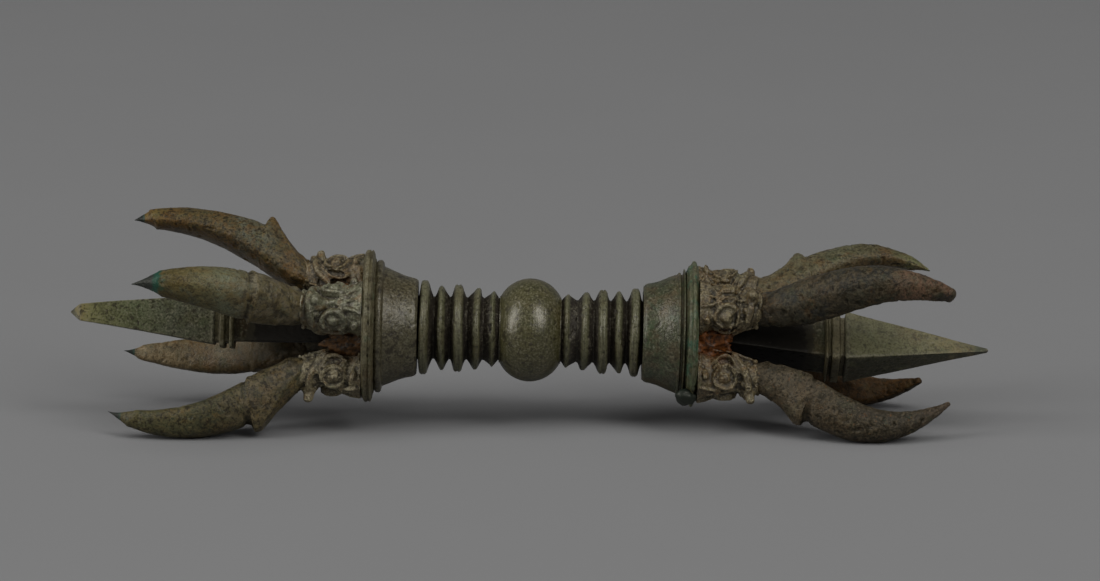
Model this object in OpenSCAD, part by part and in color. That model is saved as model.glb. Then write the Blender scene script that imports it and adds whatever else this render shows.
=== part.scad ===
// Dorje vajra: an open five-pronged ritual sceptre of cast bronze on an iron core rod.
// The grip lies along X with its ball centred on the origin, and +Z is up.

/* [Core rod and ball] */
// Diameter of the iron rod inside the grip
rod_d = 4.6; // [4:0.1:5]
// Length of rod inside each centre prong
rod_grip = 12; // [8:0.5:16]
// Largest diameter of the ball
ball_d = 20.4; // [18:0.2:23]
// Length of the ball between its end faces
ball_length = 12; // [10.5:0.5:13.5]
// Diameter of the ball's end faces
ball_neck_d = 13; // [11.5:0.2:14]

/* [Rings] */
// Length of one ring along the grip
ring_length = 3.2; // [2.7:0.1:3.8]
// Ring diameters left of the ball, from the ball outward
left_ring_d = [15, 16.4, 17.5, 16.8, 18.7]; // [14:0.1:20]
// Ring diameters right of the ball, from the ball outward
right_ring_d = [14.7, 15.6, 16.8, 16.4, 17.6]; // [14:0.1:20]
// Diameter at the bottom of the grooves between rings
ring_root_d = 12.2; // [11:0.1:13]
// Width of a ring's rounded edge
ring_edge = 0.8; // [0.6:0.05:1.2]

/* [Collars and plates] */
// Length of a bell collar
collar_length = 8.3; // [7:0.1:10]
// Diameter of the collar's shoulder by the rings
shoulder_d = 19.4; // [18:0.2:21]
// Diameter of the collar's flare behind its bead
flare_d = 24; // [22:0.2:25.5]
// How far the flare is hollowed
flare_hollow = 0.5; // [0.2:0.05:0.8]
// Thickness of the bead round the collar's rim
bead = 1.7; // [1.2:0.1:2.2]
// Plate diameters, left and right
plate_d = [30.1, 29]; // [28:0.1:32]
// Thickness of a plate
plate_thick = 2.3; // [2:0.1:3.2]
// Diameter of the plate's spigot in the collar
spigot_d = 14; // [10:0.5:16]
// Length of the plate's spigot
spigot_length = 1.6; // [1:0.1:2.5]

/* [Makara heads] */
// Turn of the heads about the grip, left and right
end_turn = [13, 0]; // [-20:1:20]
// Length of a head from the plate to its mouth
head_length = 12.2; // [11.5:0.1:14]
// Width of a head across the cheeks
head_width = 9.6; // [9.2:0.1:10.2]
// Distance of a head's throat side from the axis
throat_r = 5.3; // [5.2:0.05:5.8]
// Distance of a head's crest from the axis
crest_r = 14.2; // [13.8:0.1:14.4]
// Diameter of an eye
eye_d = 3.4; // [2.8:0.1:4]
// Thickness of the two lids round an eye
lid = 0.8; // [0.6:0.05:1]
// Lean of the eyes towards the crest
eye_tilt = 28; // [0:1:40]
// Thickness of the roll that runs under an eye to the lip
cheek_roll = 1.2; // [0.8:0.05:1.5]
// Diameter of an ear
ear_d = 2.2; // [1.6:0.1:2.6]
// Diameter of the knob on the snout
snout_d = 3.6; // [3:0.1:4.2]
// Thickness of the lip round the mouth
lip = 1.5; // [1.1:0.05:1.8]
// Depth of the mouth
mouth_depth = 1.5; // [1:0.1:2.5]
// Diameter of the mouth
mouth_d = 7.3; // [7.1:0.05:7.6]
// Distance of the mouth's centre from the axis
mouth_r = 10; // [9.8:0.05:10.3]
// Diameter of the peg that holds a head in its plate
peg_d = 3; // [2.4:0.1:4]
// Length of the peg
peg_length = 1.8; // [1:0.1:1.9]

/* [Outer prongs] */
// Distance of the left tips from the ball: upper back, upper front, lower front, lower back
left_reach = [78.3, 76.6, 81.6, 80.6]; // [74:0.1:86]
// Distance of the right tips from the ball, in the same order
right_reach = [78.6, 80.8, 81.6, 77.4]; // [74:0.1:86]
// Distance of the left tips from the axis
left_tip_r = [20.9, 20.6, 19, 18.4]; // [12:0.1:22]
// Distance of the right tips from the axis
right_tip_r = [16.3, 16.6, 14.6, 15.2]; // [12:0.1:22]
// Height of the bow's control point over the axis on the left
left_bow = [24, 26.9, 26.9, 26.4]; // [24:0.1:30]
// Height of the bow's control point over the axis on the right
right_bow = [25.2, 27.6, 29.8, 27.8]; // [24:0.1:30]
// Distance of the bow's control point from the ball on the left
left_bow_at = [57.5, 59.5, 59.5, 59.5]; // [57:0.5:65]
// Distance of the bow's control point from the ball on the right
right_bow_at = [62.5, 62.5, 62.5, 62.5]; // [57:0.5:65]
// Straight run out of the mouth on the left
left_run = [5, 6, 6, 6]; // [4:0.5:14]
// Straight run out of the mouth on the right
right_run = [12, 12, 12, 12]; // [4:0.5:14]
// Thickness at the root, measured towards the axis
root_thick = 6; // [5:0.1:6.4]
// Width at the root
root_wide = 6.4; // [5:0.1:6.6]
// Greatest thickness of the blades on the left
left_thick = [7, 8, 7.8, 7.4]; // [6:0.1:9]
// Greatest thickness of the blades on the right
right_thick = [8, 8, 8, 8]; // [6:0.1:9]
// Greatest width of the blade
blade_wide = 9.8; // [8:0.1:10.5]
// Thickness of the blade ends on the left
left_end = [3.4, 3.2, 2.6, 2]; // [1:0.1:4]
// Thickness of the blade ends on the right
right_end = [1.6, 3.6, 1.5, 2]; // [1:0.1:4]
// Share of the curve that the calyx covers, left and right
calyx_end = [0.43, 0.36]; // [0.3:0.01:0.45]
// Height of the leaf knob on the calyx
knob = 1.6; // [1:0.1:3]
// Step from the calyx down to the blade
calyx_step = 0.45; // [0.2:0.05:0.8]
// Step from the blade down to its point, left and right
point_step = [0.3, 0.05]; // [0.05:0.05:0.4]
// Share of its thickness that a point loses, left and right
point_taper = [0.8, 0.4]; // [0.2:0.05:0.9]
// Diameter of the tang in the head
tang_d = 3.8; // [3:0.1:5]
// Length of the tang
tang_length = 5; // [3:0.1:7]

/* [Centre prongs] */
// Distance of the centre tips from the ball
centre_reach = 90; // [85:0.5:98]
// Distance of the spike's base from the ball
spike_start = 61.5; // [58:0.5:66]
// Width of the spike's base, left and right
spike_wide = [9.2, 9.9]; // [9:0.1:10.4]
// Width of the spike's end, left and right
spike_end = [2.6, 0.9]; // [0.6:0.1:3.5]
// Width of the square waist under the band
waist_wide = 8; // [7.4:0.1:8.4]
// Width of the centre prong where it meets the plate
neck_wide = 6.4; // [6.2:0.1:6.6]
// Turn of the spike's faces against the outer prongs, left and right
spike_turn = [11, 4]; // [0:1:20]
// Width across the band
band_wide = 10.8; // [10.4:0.1:11.6]
// Length of the band along the axis
band_length = 4; // [3:0.1:5]
// Depth of the groove round the band
band_groove = 0.7; // [0.4:0.05:0.9]

/* [Fits] */
// Clearance between a bore and what goes through it
fit = 0.05; // [0.03:0.01:0.1]
// Space left at the bottom of a blind hole
end_gap = 0.1; // [0.05:0.01:0.2]

/* [Hidden] */
$fn = 64;
ENDS = ["left", "right"];
SEATS = ["upper_back", "upper_front", "lower_front", "lower_back"];
RING_D = [left_ring_d, right_ring_d];
REACH = [left_reach, right_reach];
TIP_R = [left_tip_r, right_tip_r];
BOW = [left_bow, right_bow];
BLADE_THICK = [left_thick, right_thick];
BOW_AT = [left_bow_at, right_bow_at];
RUN = [left_run, right_run];
BLADE_END = [left_end, right_end];
bronze = [0.36, 0.33, 0.22];
iron = [0.30, 0.19, 0.13];

// Where each piece begins along the axis, from the ball outward
rings_at = ball_length / 2;
collar_at = rings_at + 5 * ring_length;
plate_at = collar_at + collar_length;
heads_at = plate_at + plate_thick;
mouth_at = heads_at + head_length - mouth_depth;
rod_half = heads_at + rod_grip;
bore_d = rod_d + 2 * fit;

// The ball's outline is one arc through its middle and its two end faces
ball_rise = (ball_d - ball_neck_d) / 2;
ball_arc_r = (pow(ball_length / 2, 2) + pow(ball_rise, 2)) / (2 * ball_rise);

// The flare of a collar is a straight cone hollowed by one arc
shoulder_at = 0.8;
flare_from = [shoulder_at, shoulder_d / 2];
flare_to = [collar_length - bead, flare_d / 2];
flare_chord = norm(flare_to - flare_from);
flare_arc_r = (pow(flare_chord / 2, 2) + pow(flare_hollow, 2)) / (2 * flare_hollow);
flare_side = [flare_from.y - flare_to.y, flare_to.x - flare_from.x] / flare_chord;
flare_centre = (flare_from + flare_to) / 2 + flare_side * (flare_arc_r - flare_hollow);

// Places on a head, measured from the plate, and distances from the axis
crest_run = 1.8;
nape_at = 2.8;
nape_r = crest_r - 1.1;
nape_cut = 0.6;
eye_at = 5.7;
eye_r = mouth_r + 1.9;
brow_r = crest_r - 0.6;
bridge_at = 8.2;
bridge_r = crest_r - 2.2;
snout_at = 10.2;
snout_r = crest_r - 0.3;
chin_r = mouth_r - mouth_d / 2 - 0.3;
cheek = head_width / 2;
muzzle = cheek - 0.8;
head_mid_r = (crest_r + throat_r) / 2;
head_round_r = 6;

// Carving on the cheek, with its roll from behind the eye to the lip
eye_sink = 0.7;
eye_seat = 2.4;
lid_rise = 0.3;
roll_r = eye_d / 2 + 2.5 * lid + 0.2;
roll_from = -145;
roll_sweep = 165;
ear_at = 1.5;
ear_rise = 0.7;
fang_d = 1.6;
lip_proud = 0.15;

// A prong's point begins at this share of the curve
point_start = 0.94;
calyx_rings = 7;
blade_rings = 12;
point_rings = 3;
seam_run = 0.008;
section_points = 16;
widest = 0.3;

function smooth(x) = x * x * (3 - 2 * x);

function along(p, t) =
    pow(1 - t, 3) * p[0] + 3 * t * pow(1 - t, 2) * p[1] + 3 * t * t * (1 - t) * p[2] + pow(t, 3) * p[3];

function heading(p, t) =
    let (d = pow(1 - t, 2) * (p[1] - p[0]) + 2 * t * (1 - t) * (p[2] - p[1]) + t * t * (p[3] - p[2]))
    d / norm(d);

function curve(e, k) = [
    [mouth_at, mouth_r],
    [mouth_at + RUN[e][k], mouth_r],
    [BOW_AT[e][k], BOW[e][k]],
    [REACH[e][k], TIP_R[e][k]]
];

// Half size of the prong at share t: it swells along the calyx, then tapers to the tip
function half_size(root, blade, tip, seam, t) =
    t < seam
    ? (root + (blade - root) * smooth(t / seam)) / 2
    : (tip + (blade - tip) * (1 - pow((t - seam) / (1 - seam), 1.8))) / 2;

// One section, with a keel outside and a flatter face inside
// A row holds the share of the curve, the step, the knob's height and the scale
function section(e, k, row) =
    let (
        p = curve(e, k),
        c = along(p, row[0]),
        d = heading(p, row[0]),
        a = (half_size(root_thick, BLADE_THICK[e][k], BLADE_END[e][k], calyx_end[e], row[0]) + row[1]) * row[3],
        b = (half_size(root_wide, blade_wide, BLADE_END[e][k], calyx_end[e], row[0]) + row[1]) * row[3]
    )
    [for (j = [0 : section_points - 1])
        let (
            co = cos(360 * j / section_points),
            si = sin(360 * j / section_points),
            rise = co > 0
                ? a * (1 + widest) * pow(co, 1.25) + row[2] * pow(co, 4)
                : -a * (1 - widest) * pow(-co, 0.75),
            z = rise - a * widest,
            y = b * sign(si) * pow(abs(si), 0.9)
        )
        [c.x - d.y * z, y, c.y + d.x * z]];

function rows(e) = concat(
    [for (i = [0 : calyx_rings])
        let (x = i / calyx_rings)
        [calyx_end[e] * x, calyx_step * smooth(x), knob * pow(x, 2.5), 1]],
    [[calyx_end[e] + seam_run, 0, 0, 1]],
    [for (i = [1 : blade_rings])
        [calyx_end[e] + (point_start - calyx_end[e]) * i / blade_rings, 0, 0, 1]],
    [for (i = [0 : point_rings])
        let (x = i / point_rings, from = point_start + seam_run)
        [from + (1 - from) * x, -point_step[e], 0, 1 - point_taper[e] * x]]
);

module at_end(e) {
    mirror([e == 0 ? 1 : 0, 0, 0])
        children();
}

module at_seat(e, k) {
    at_end(e)
        rotate([end_turn[e] - 45 + 90 * k, 0, 0])
            children();
}

// A profile of [distance along the axis, radius] turned about X
module turned() {
    rotate([0, 90, 0])
        rotate_extrude()
            rotate(90)
                mirror([0, 1, 0])
                    children();
}

module along_x(from, d, length) {
    translate([from, 0, 0])
        rotate([0, 90, 0])
            cylinder(d = d, h = length);
}

module core_rod() {
    color(iron)
        along_x(-rod_half, rod_d, 2 * rod_half);
}

module grip_ball() {
    color(bronze)
        turned()
            intersection() {
                translate([0, ball_d / 2 - ball_arc_r])
                    circle(ball_arc_r);
                translate([-ball_length / 2, bore_d / 2])
                    square([ball_length, ball_d]);
            }
}

module ring(e, i) {
    top = RING_D[e][i] / 2 - ring_edge / 2;
    color(bronze)
        at_end(e)
            translate([rings_at + i * ring_length, 0, 0]) {
                turned()
                    polygon([
                        [0, bore_d / 2],
                        [0, ring_root_d / 2],
                        [ring_length / 2 - ring_edge * 0.4, top + ring_edge * 0.1],
                        [ring_length / 2 + ring_edge * 0.4, top + ring_edge * 0.1],
                        [ring_length, ring_root_d / 2],
                        [ring_length, bore_d / 2]
                    ]);
                turned()
                    translate([ring_length / 2, top])
                        circle(d = ring_edge);
            }
}

module collar(e) {
    color(bronze)
        at_end(e)
            translate([collar_at, 0, 0])
                difference() {
                    union() {
                        turned()
                            difference() {
                                polygon([
                                    [0, bore_d / 2],
                                    [0, shoulder_d / 2 - shoulder_at],
                                    flare_from,
                                    flare_to,
                                    [collar_length, flare_d / 2],
                                    [collar_length, bore_d / 2]
                                ]);
                                translate(flare_centre)
                                    circle(flare_arc_r);
                            }
                        turned()
                            translate([collar_length - bead / 2, flare_d / 2 + bead * 0.1])
                                circle(d = bead);
                    }
                    along_x(collar_length - spigot_length - end_gap, spigot_d + 2 * fit, collar_length);
                }
}

module plate(e) {
    edge = plate_thick / 2;
    color(bronze)
        at_end(e)
            difference() {
                translate([plate_at, 0, 0])
                    turned() {
                        translate([0, bore_d / 2])
                            square([plate_thick, (plate_d[e] - bore_d) / 2 - edge]);
                        translate([edge, plate_d[e] / 2 - edge])
                            circle(edge);
                        translate([-spigot_length, bore_d / 2])
                            square([spigot_length + edge, (spigot_d - bore_d) / 2]);
                    }
                for (k = [0 : 3])
                    rotate([end_turn[e] - 45 + 90 * k, 0, 0])
                        translate([0, 0, mouth_r])
                            along_x(heads_at - peg_length - end_gap, peg_d + 2 * fit, plate_thick);
            }
}

// The carved block of a head: side view, top view and rounded front view cut from one another
module head_block() {
    intersection() {
        translate([0, head_width, 0])
            rotate([90, 0, 0])
                linear_extrude(2 * head_width)
                    polygon([
                        [0, throat_r],
                        [0, crest_r],
                        [crest_run, crest_r],
                        [nape_at, nape_r],
                        [eye_at, brow_r],
                        [bridge_at, bridge_r],
                        [head_length, snout_r],
                        [head_length, chin_r],
                        [bridge_at, throat_r + 0.4]
                    ]);
        linear_extrude(2 * crest_r)
            polygon([
                [0, -cheek],
                [crest_run, -cheek],
                [nape_at, nape_cut - cheek],
                [eye_at, -cheek],
                [bridge_at, -muzzle],
                [head_length, -muzzle],
                [head_length, muzzle],
                [bridge_at, muzzle],
                [eye_at, cheek],
                [nape_at, cheek - nape_cut],
                [crest_run, cheek],
                [0, cheek]
            ]);
        translate([0, 0, head_mid_r])
            along_x(0, 2 * head_round_r, head_length);
    }
}

// A round bar bent to part of a circle, in the plane of its base
module bent_bar(radius, bar, from, sweep) {
    rotate([0, 0, from])
        rotate_extrude(angle = sweep)
            translate([radius, 0])
                circle(d = bar);
}

// An eye in two raised lids on a solid seat
module eye() {
    translate([0, 0, -eye_seat])
        cylinder(d = eye_d + 2.6 * lid, h = eye_seat + 0.1 * lid);
    bent_bar(eye_d / 2 + 1.5 * lid, lid, 0, 360);
    translate([0, 0, lid_rise])
        bent_bar(eye_d / 2 + 0.4 * lid, lid, 0, 360);
    sphere(d = eye_d);
}

module ear() {
    for (side = [-1, 1])
        translate([0, 0, side * ear_rise])
            sphere(d = ear_d);
    translate([0, 0, -ear_rise])
        cylinder(d = ear_d * 0.9, h = 2 * ear_rise);
}

module face_side() {
    translate([eye_at, eye_sink - cheek, eye_r])
        rotate([90 - eye_tilt, 0, 0])
            eye();
    translate([eye_at, cheek_roll / 4 - cheek, eye_r])
        rotate([90, 0, 0])
            bent_bar(roll_r, cheek_roll, roll_from, roll_sweep);
    translate([ear_at, ear_d / 4 - cheek, eye_r])
        ear();
    translate([head_length - fang_d, -muzzle, chin_r + fang_d / 2])
        sphere(d = fang_d);
}

// The knob that curls up from the end of the snout
module snout() {
    translate([snout_at, 0, bridge_r - snout_d / 2]) {
        cylinder(d = snout_d * 0.9, h = snout_r - bridge_r + snout_d / 2);
        translate([0, 0, snout_r - bridge_r + snout_d / 2])
            sphere(d = snout_d);
    }
}

module head(e, k) {
    color(bronze)
        at_seat(e, k)
            translate([heads_at, 0, 0]) {
                difference() {
                    union() {
                        head_block();
                        face_side();
                        mirror([0, 1, 0])
                            face_side();
                        snout();
                        translate([head_length - lip / 2 + lip_proud, 0, mouth_r])
                            rotate([0, 90, 0])
                                rotate_extrude()
                                    translate([mouth_d / 2, 0])
                                        circle(d = lip);
                    }
                    translate([0, 0, mouth_r])
                        along_x(head_length - mouth_depth, mouth_d, mouth_depth + lip);
                    translate([0, 0, mouth_r])
                        along_x(head_length - mouth_depth - tang_length - end_gap, tang_d + 2 * fit, head_length);
                }
                translate([0, 0, mouth_r])
                    along_x(-peg_length, peg_d, peg_length + 1);
            }
}

module prong(e, k) {
    p = curve(e, k);
    list = rows(e);
    n = section_points;
    last = len(list) - 1;
    skin = [for (row = list) each section(e, k, row)];
    end = along(p, 1) + heading(p, 1) * BLADE_END[e][k] * (1 - point_taper[e]) * 0.45;
    points = concat(skin, [[end.x, 0, end.y]]);
    sides = [for (i = [0 : last - 1]) for (j = [0 : n - 1])
        let (a = i * n + j, b = i * n + (j + 1) % n)
        each [[a, b, b + n], [a, b + n, a + n]]];
    root = [[for (j = [n - 1 : -1 : 0]) j]];
    tip = [for (j = [0 : n - 1]) [last * n + j, last * n + (j + 1) % n, len(skin)]];
    color(bronze)
        at_seat(e, k) {
            polyhedron(points, concat(sides, root, tip));
            translate([0, 0, mouth_r])
                along_x(mouth_at - tang_length, tang_d, tang_length + 0.5);
        }
}

module square_x(from, wide, length) {
    translate([from, 0, 0])
        rotate([90, 0, 90])
            linear_extrude(length)
                square(wide, center = true);
}

module square_taper(from, to, start_wide, end_wide) {
    translate([from, 0, 0])
        rotate([90, 0, 90])
            linear_extrude(to - from, scale = end_wide / start_wide)
                square(start_wide, center = true);
}

module at_spike(e) {
    at_end(e)
        rotate([45 + end_turn[e] + spike_turn[e], 0, 0])
            children();
}

module centre_prong(e) {
    color(bronze)
        at_spike(e)
            difference() {
                union() {
                    square_taper(heads_at, spike_start - band_length, neck_wide, waist_wide);
                    square_x(spike_start - band_length, waist_wide, band_length);
                    square_taper(spike_start, centre_reach, spike_wide[e], spike_end[e]);
                }
                along_x(heads_at - 1, bore_d, rod_grip + 1 + end_gap);
            }
}

module centre_band(e) {
    ridge = band_length * 0.38;
    color(bronze)
        at_spike(e)
            difference() {
                union() {
                    square_x(spike_start - band_length, band_wide, ridge);
                    square_x(spike_start - band_length, band_wide - 2 * band_groove, band_length);
                    square_x(spike_start - ridge, band_wide, ridge);
                }
                square_x(spike_start - band_length - 1, waist_wide + 2 * fit, band_length + 2);
            }
}

core_rod();
grip_ball();
for (e = [0, 1]) {
    for (i = [0 : 4])
        ring(e, i);
    collar(e);
    plate(e);
    for (k = [0 : 3]) {
        head(e, k);
        prong(e, k);
    }
    centre_prong(e);
    centre_band(e);
}
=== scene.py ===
import bpy
import bmesh
import math
import numpy as np
from mathutils import Matrix, Vector, noise


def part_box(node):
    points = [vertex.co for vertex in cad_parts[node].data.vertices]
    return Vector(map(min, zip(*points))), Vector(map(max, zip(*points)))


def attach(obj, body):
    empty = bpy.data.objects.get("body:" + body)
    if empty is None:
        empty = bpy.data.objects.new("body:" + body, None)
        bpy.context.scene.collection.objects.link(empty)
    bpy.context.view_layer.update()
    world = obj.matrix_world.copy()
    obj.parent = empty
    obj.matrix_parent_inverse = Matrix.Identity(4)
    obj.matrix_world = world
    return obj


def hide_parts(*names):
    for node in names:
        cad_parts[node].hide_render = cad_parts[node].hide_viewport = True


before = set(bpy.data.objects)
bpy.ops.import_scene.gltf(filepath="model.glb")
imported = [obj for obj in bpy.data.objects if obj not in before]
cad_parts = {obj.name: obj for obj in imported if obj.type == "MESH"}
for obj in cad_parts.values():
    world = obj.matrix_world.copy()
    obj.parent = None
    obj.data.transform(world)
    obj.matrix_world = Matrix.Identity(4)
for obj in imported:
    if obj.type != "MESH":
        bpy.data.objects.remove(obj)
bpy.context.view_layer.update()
mm = 0.001
ends = ("left", "right")
seats = ("upper_back", "upper_front", "lower_front", "lower_back")
endTurn = {"left": 13, "right": 0}  # degrees about the grip
print("frame loaded with", len(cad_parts), "nodes")


def ease(x):
    x = min(max(x, 0.0), 1.0)
    return x * x * (3 - 2 * x)


def swell(x, width):
    return math.exp(-(x / width) ** 2)


def blend(a, b, share):
    return a + (b - a) * share


def seatTurn(end, seat):
    return math.radians(endTurn[end] - 45 + 90 * seats.index(seat))


def endPlace(end, turn):
    flip = -1 if end == "left" else 1  # the left end is the right one mirrored
    return Matrix.Diagonal((flip, 1, 1, 1)) @ Matrix.Rotation(turn, 4, "X")


def setAt(bm, end, turn=0):
    bmesh.ops.transform(bm, matrix=endPlace(end, turn), verts=bm.verts)


# a sheet rolled into a tube: place(x, turn) says where each point of it goes, in mm
def rolledTube(bm, rings, around, place, capped=True):
    sheet = bmesh.ops.create_grid(bm, x_segments=rings, y_segments=around, size=1)["verts"]
    for v in sheet:
        v.co = Vector(place((v.co.x + 1) / 2, (v.co.y + 1) * math.pi)) * mm
    bmesh.ops.remove_doubles(bm, verts=sheet, dist=0.0005 * mm)
    if capped:
        rims = [e for e in bm.edges if e.is_boundary]
        bmesh.ops.holes_fill(bm, edges=rims, sides=0)


bevelForm = {"most": 0.45, "facets": 6, "least": 0.004}  # share of a side that a corner takes; least gap in mm
wearForm = {"shift": (17.3, 7.1, 3.7), "pitEdge": 0.25, "bearing": 0.02}  # step a seed; width of a pit's edge; mm
reliefForm = {"near": 8, "far": 50, "ridge": 0.05}  # passes of softening, and a full ridge in mm


# corners of a closed profile rounded off, then points no further apart than step
# a corner is along, radius and, if it differs from the rest, its rounding
def softened(corners, rounding, step):
    soft = []
    count = len(corners)
    for i, corner in enumerate(corners):
        here = Vector(corner[:2])
        sides = [Vector(corners[j % count][:2]) - here for j in (i - 1, i + 1)]
        size = corner[2] if len(corner) > 2 else rounding
        p, q = (here + side.normalized() * min(size, side.length * bevelForm["most"]) for side in sides)
        for j in range(bevelForm["facets"] + 1):
            x = j / bevelForm["facets"]
            soft.append((1 - x) ** 2 * p + 2 * x * (1 - x) * here + x * x * q)
    dense = []
    for a, b in zip(soft, soft[1:] + soft[:1]):
        gap = (b - a).length
        parts = max(1, math.ceil(gap / step))
        dense += [a.lerp(b, j / parts) for j in range(parts) if gap > bevelForm["least"]]
    return dense


# a closed profile turned about X, from its corners
def turned(corners, form, start=0):
    profile = softened(corners, form["round"], form["step"])
    count = len(profile)

    def place(x, turn):
        s, r = profile[round(x * count) % count]
        return start + s, -r * math.sin(turn), r * math.cos(turn)

    bm = bmesh.new()
    rolledTube(bm, count, form["steps"], place, capped=False)
    bmesh.ops.recalc_face_normals(bm, faces=bm.faces)
    return bm


# a circle pressed towards a square; a higher power gives sharper corners
def squared(turn, power):
    co, si = math.cos(turn), math.sin(turn)
    return co, si, (abs(co) ** power + abs(si) ** power) ** (-1 / power)


# wear eats into the metal and never adds to it; faces that bear on a neighbour keep their place
# a layer is grain, depth and, if it is one of pits, where in the noise they begin
def weather(bm, wear, seed, bearing=()):
    bm.normal_update()
    shift = Vector(wearForm["shift"]) * seed
    depths = []
    for v in bm.verts:
        p = v.co / mm + shift
        depth = 0
        for grain, most, *pits in wear:
            n = noise.noise(p / grain)
            depth += most * (ease((n - pits[0]) / wearForm["pitEdge"]) if pits else 0.5 - 0.5 * n)
        seated = any(abs(v.co.x / mm - x) < wearForm["bearing"] for x in bearing)
        depths.append(0 if seated else depth)
    for v, depth in zip(bm.verts, depths):
        v.co -= v.normal * depth * mm


def meshOf(name, bm):
    mesh = bpy.data.meshes.new(name)
    bm.to_mesh(mesh)
    bm.free()
    return mesh


def linked(name, data):
    thing = bpy.data.objects.new(name, data)
    bpy.context.scene.collection.objects.link(thing)
    return thing


def storeValues(mesh, name, values):
    layer = mesh.attributes.get(name) or mesh.attributes.new(name, "FLOAT", "POINT")
    layer.data.foreach_set("value", np.asarray(values, np.float32))


# hollows and ridges found by comparing the surface with a softened copy
def markRelief(mesh, deep):
    count = len(mesh.vertices)
    co = np.empty(count * 3)
    normal = np.empty(count * 3)
    pairs = np.empty(len(mesh.edges) * 2, int)
    mesh.vertices.foreach_get("co", co)
    mesh.vertices.foreach_get("normal", normal)
    mesh.edges.foreach_get("vertices", pairs)
    co, normal = co.reshape(-1, 3) / mm, normal.reshape(-1, 3)
    a, b = pairs.reshape(-1, 2).T
    links = np.bincount(a, minlength=count) + np.bincount(b, minlength=count)

    def relaxed(p, passes):
        for _ in range(passes):
            total = np.stack([np.bincount(a, p[b, k], count) + np.bincount(b, p[a, k], count)
                              for k in range(3)], 1)
            p = 0.5 * p + 0.5 * total / np.maximum(links, 1)[:, None]
        return p

    near = relaxed(co, reliefForm["near"])
    far = relaxed(near, reliefForm["far"])
    storeValues(mesh, "hollow", np.clip(((far - co) * normal).sum(1) / deep, 0, 1))
    storeValues(mesh, "ridge", np.clip(((co - near) * normal).sum(1) / reliefForm["ridge"], 0, 1))


def finishPiece(name, bm, node, material, values=None, deep=0.28):
    bmesh.ops.recalc_face_normals(bm, faces=bm.faces)
    mesh = meshOf(name, bm)
    mesh.shade_smooth()
    mesh.materials.append(material)
    markRelief(mesh, deep)
    for key, numbers in (values or {}).items():
        storeValues(mesh, key, numbers)
    piece = linked(name, mesh)
    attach(piece, "root")
    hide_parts(node)


# node helpers for the finishes; a value is a number, a tone in thousandths or the output of a node
def addNode(tree, kind, **settings):
    node = tree.nodes.new(kind)
    for key, value in settings.items():
        setattr(node, key, value)
    return node


def toned(tone):
    return (*(share / 1000 for share in tone), 1)


def feed(tree, socket, value):
    if isinstance(value, (int, float)):
        socket.default_value = value
    elif isinstance(value, tuple):
        socket.default_value = toned(value)
    else:
        tree.links.new(value, socket)


def spread(tree, value, low, high, top=1.0):
    node = addNode(tree, "ShaderNodeMapRange", interpolation_type="SMOOTHSTEP")
    names = ("Value", "From Min", "From Max", "To Min", "To Max")
    for name, given in zip(names, (value, low, high, 0, top)):
        feed(tree, node.inputs[name], given)
    return node.outputs["Result"]


def combine(tree, operation, a, b=0):
    node = addNode(tree, "ShaderNodeMath", operation=operation)
    feed(tree, node.inputs[0], a)
    feed(tree, node.inputs[1], b)
    return node.outputs[0]


def times(tree, a, b):
    return combine(tree, "MULTIPLY", a, b)


def plus(tree, a, b):
    return combine(tree, "ADD", a, b)


def layered(tree, share, under, over):
    node = addNode(tree, "ShaderNodeMix", data_type="RGBA")
    for i, value in ((0, share), (6, under), (7, over)):
        feed(tree, node.inputs[i], value)
    return node.outputs[2]


def cloud(tree, place, grain, detail, rough, offset, drawn=(1, 1, 1)):
    shift = addNode(tree, "ShaderNodeMapping")
    shift.inputs["Scale"].default_value = drawn
    shift.inputs["Location"].default_value = (offset, offset * 0.7, -offset)
    tree.links.new(place, shift.inputs["Vector"])
    node = addNode(tree, "ShaderNodeTexNoise")
    tree.links.new(shift.outputs[0], node.inputs["Vector"])
    for name, value in (("Scale", 1 / (grain * mm)), ("Detail", detail), ("Roughness", rough)):
        node.inputs[name].default_value = value
    return node.outputs[0]


def attribute(tree, name):
    return addNode(tree, "ShaderNodeAttribute", attribute_name=name).outputs["Fac"]


clouds = {  # grain in mm, detail, roughness and offset
    "broad": (9, 3, 0.6, 0), "middle": (2.6, 4, 0.6, 0.3), "fine": (0.8, 4, 0.65, 0.6), "grit": (0.42, 3, 0.6, 0.9),
    "green": (6, 4, 0.65, 1.7), "fibre": (0.9, 4, 0.6, 2.3), "crumb": (1.4, 4, 0.65, 3.1),
}
edges = {  # where in its cloud or mark a layer begins and where it is full
    "belly": (0.4, 0.8), "bellyGrain": (0.3, 0.55), "second": (0.42, 0.62), "streak": (0.48, 0.64),
    "rust": (0.48, 0.66), "rustGrain": (0.3, 0.62), "green": (0.54, 0.68), "greenGrain": (0.35, 0.6),
    "dust": (0.15, 1), "dustGrain": (0.32, 0.62), "fleck": (0.53, 0.64), "speck": (0.47, 0.37),
    "crumb": (0.45, 0.36), "throat": (0.38, 0.6), "pointEdge": (0.14, 0.36), "point": (0.5, 0.72),
}
blotchForm = {"detail": 5, "rough": 0.62, "offset": 4.1}
pointForm = {"middle": 0.9, "fine": 0.5, "level": 0.7}  # shares of two clouds in a point's edge, and their mean
throatForm = {  # where the rusty soil fades, in mm from the axis and from the ball; a dim and a bright tone
    "across": (11, 7), "out": (43, 36), "in": (31.5, 32.8), "stray": 6,
    "left": ((18, 9, 4), (104, 46, 12)), "right": ((34, 10, 2), (150, 45, 6)),
}
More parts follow.
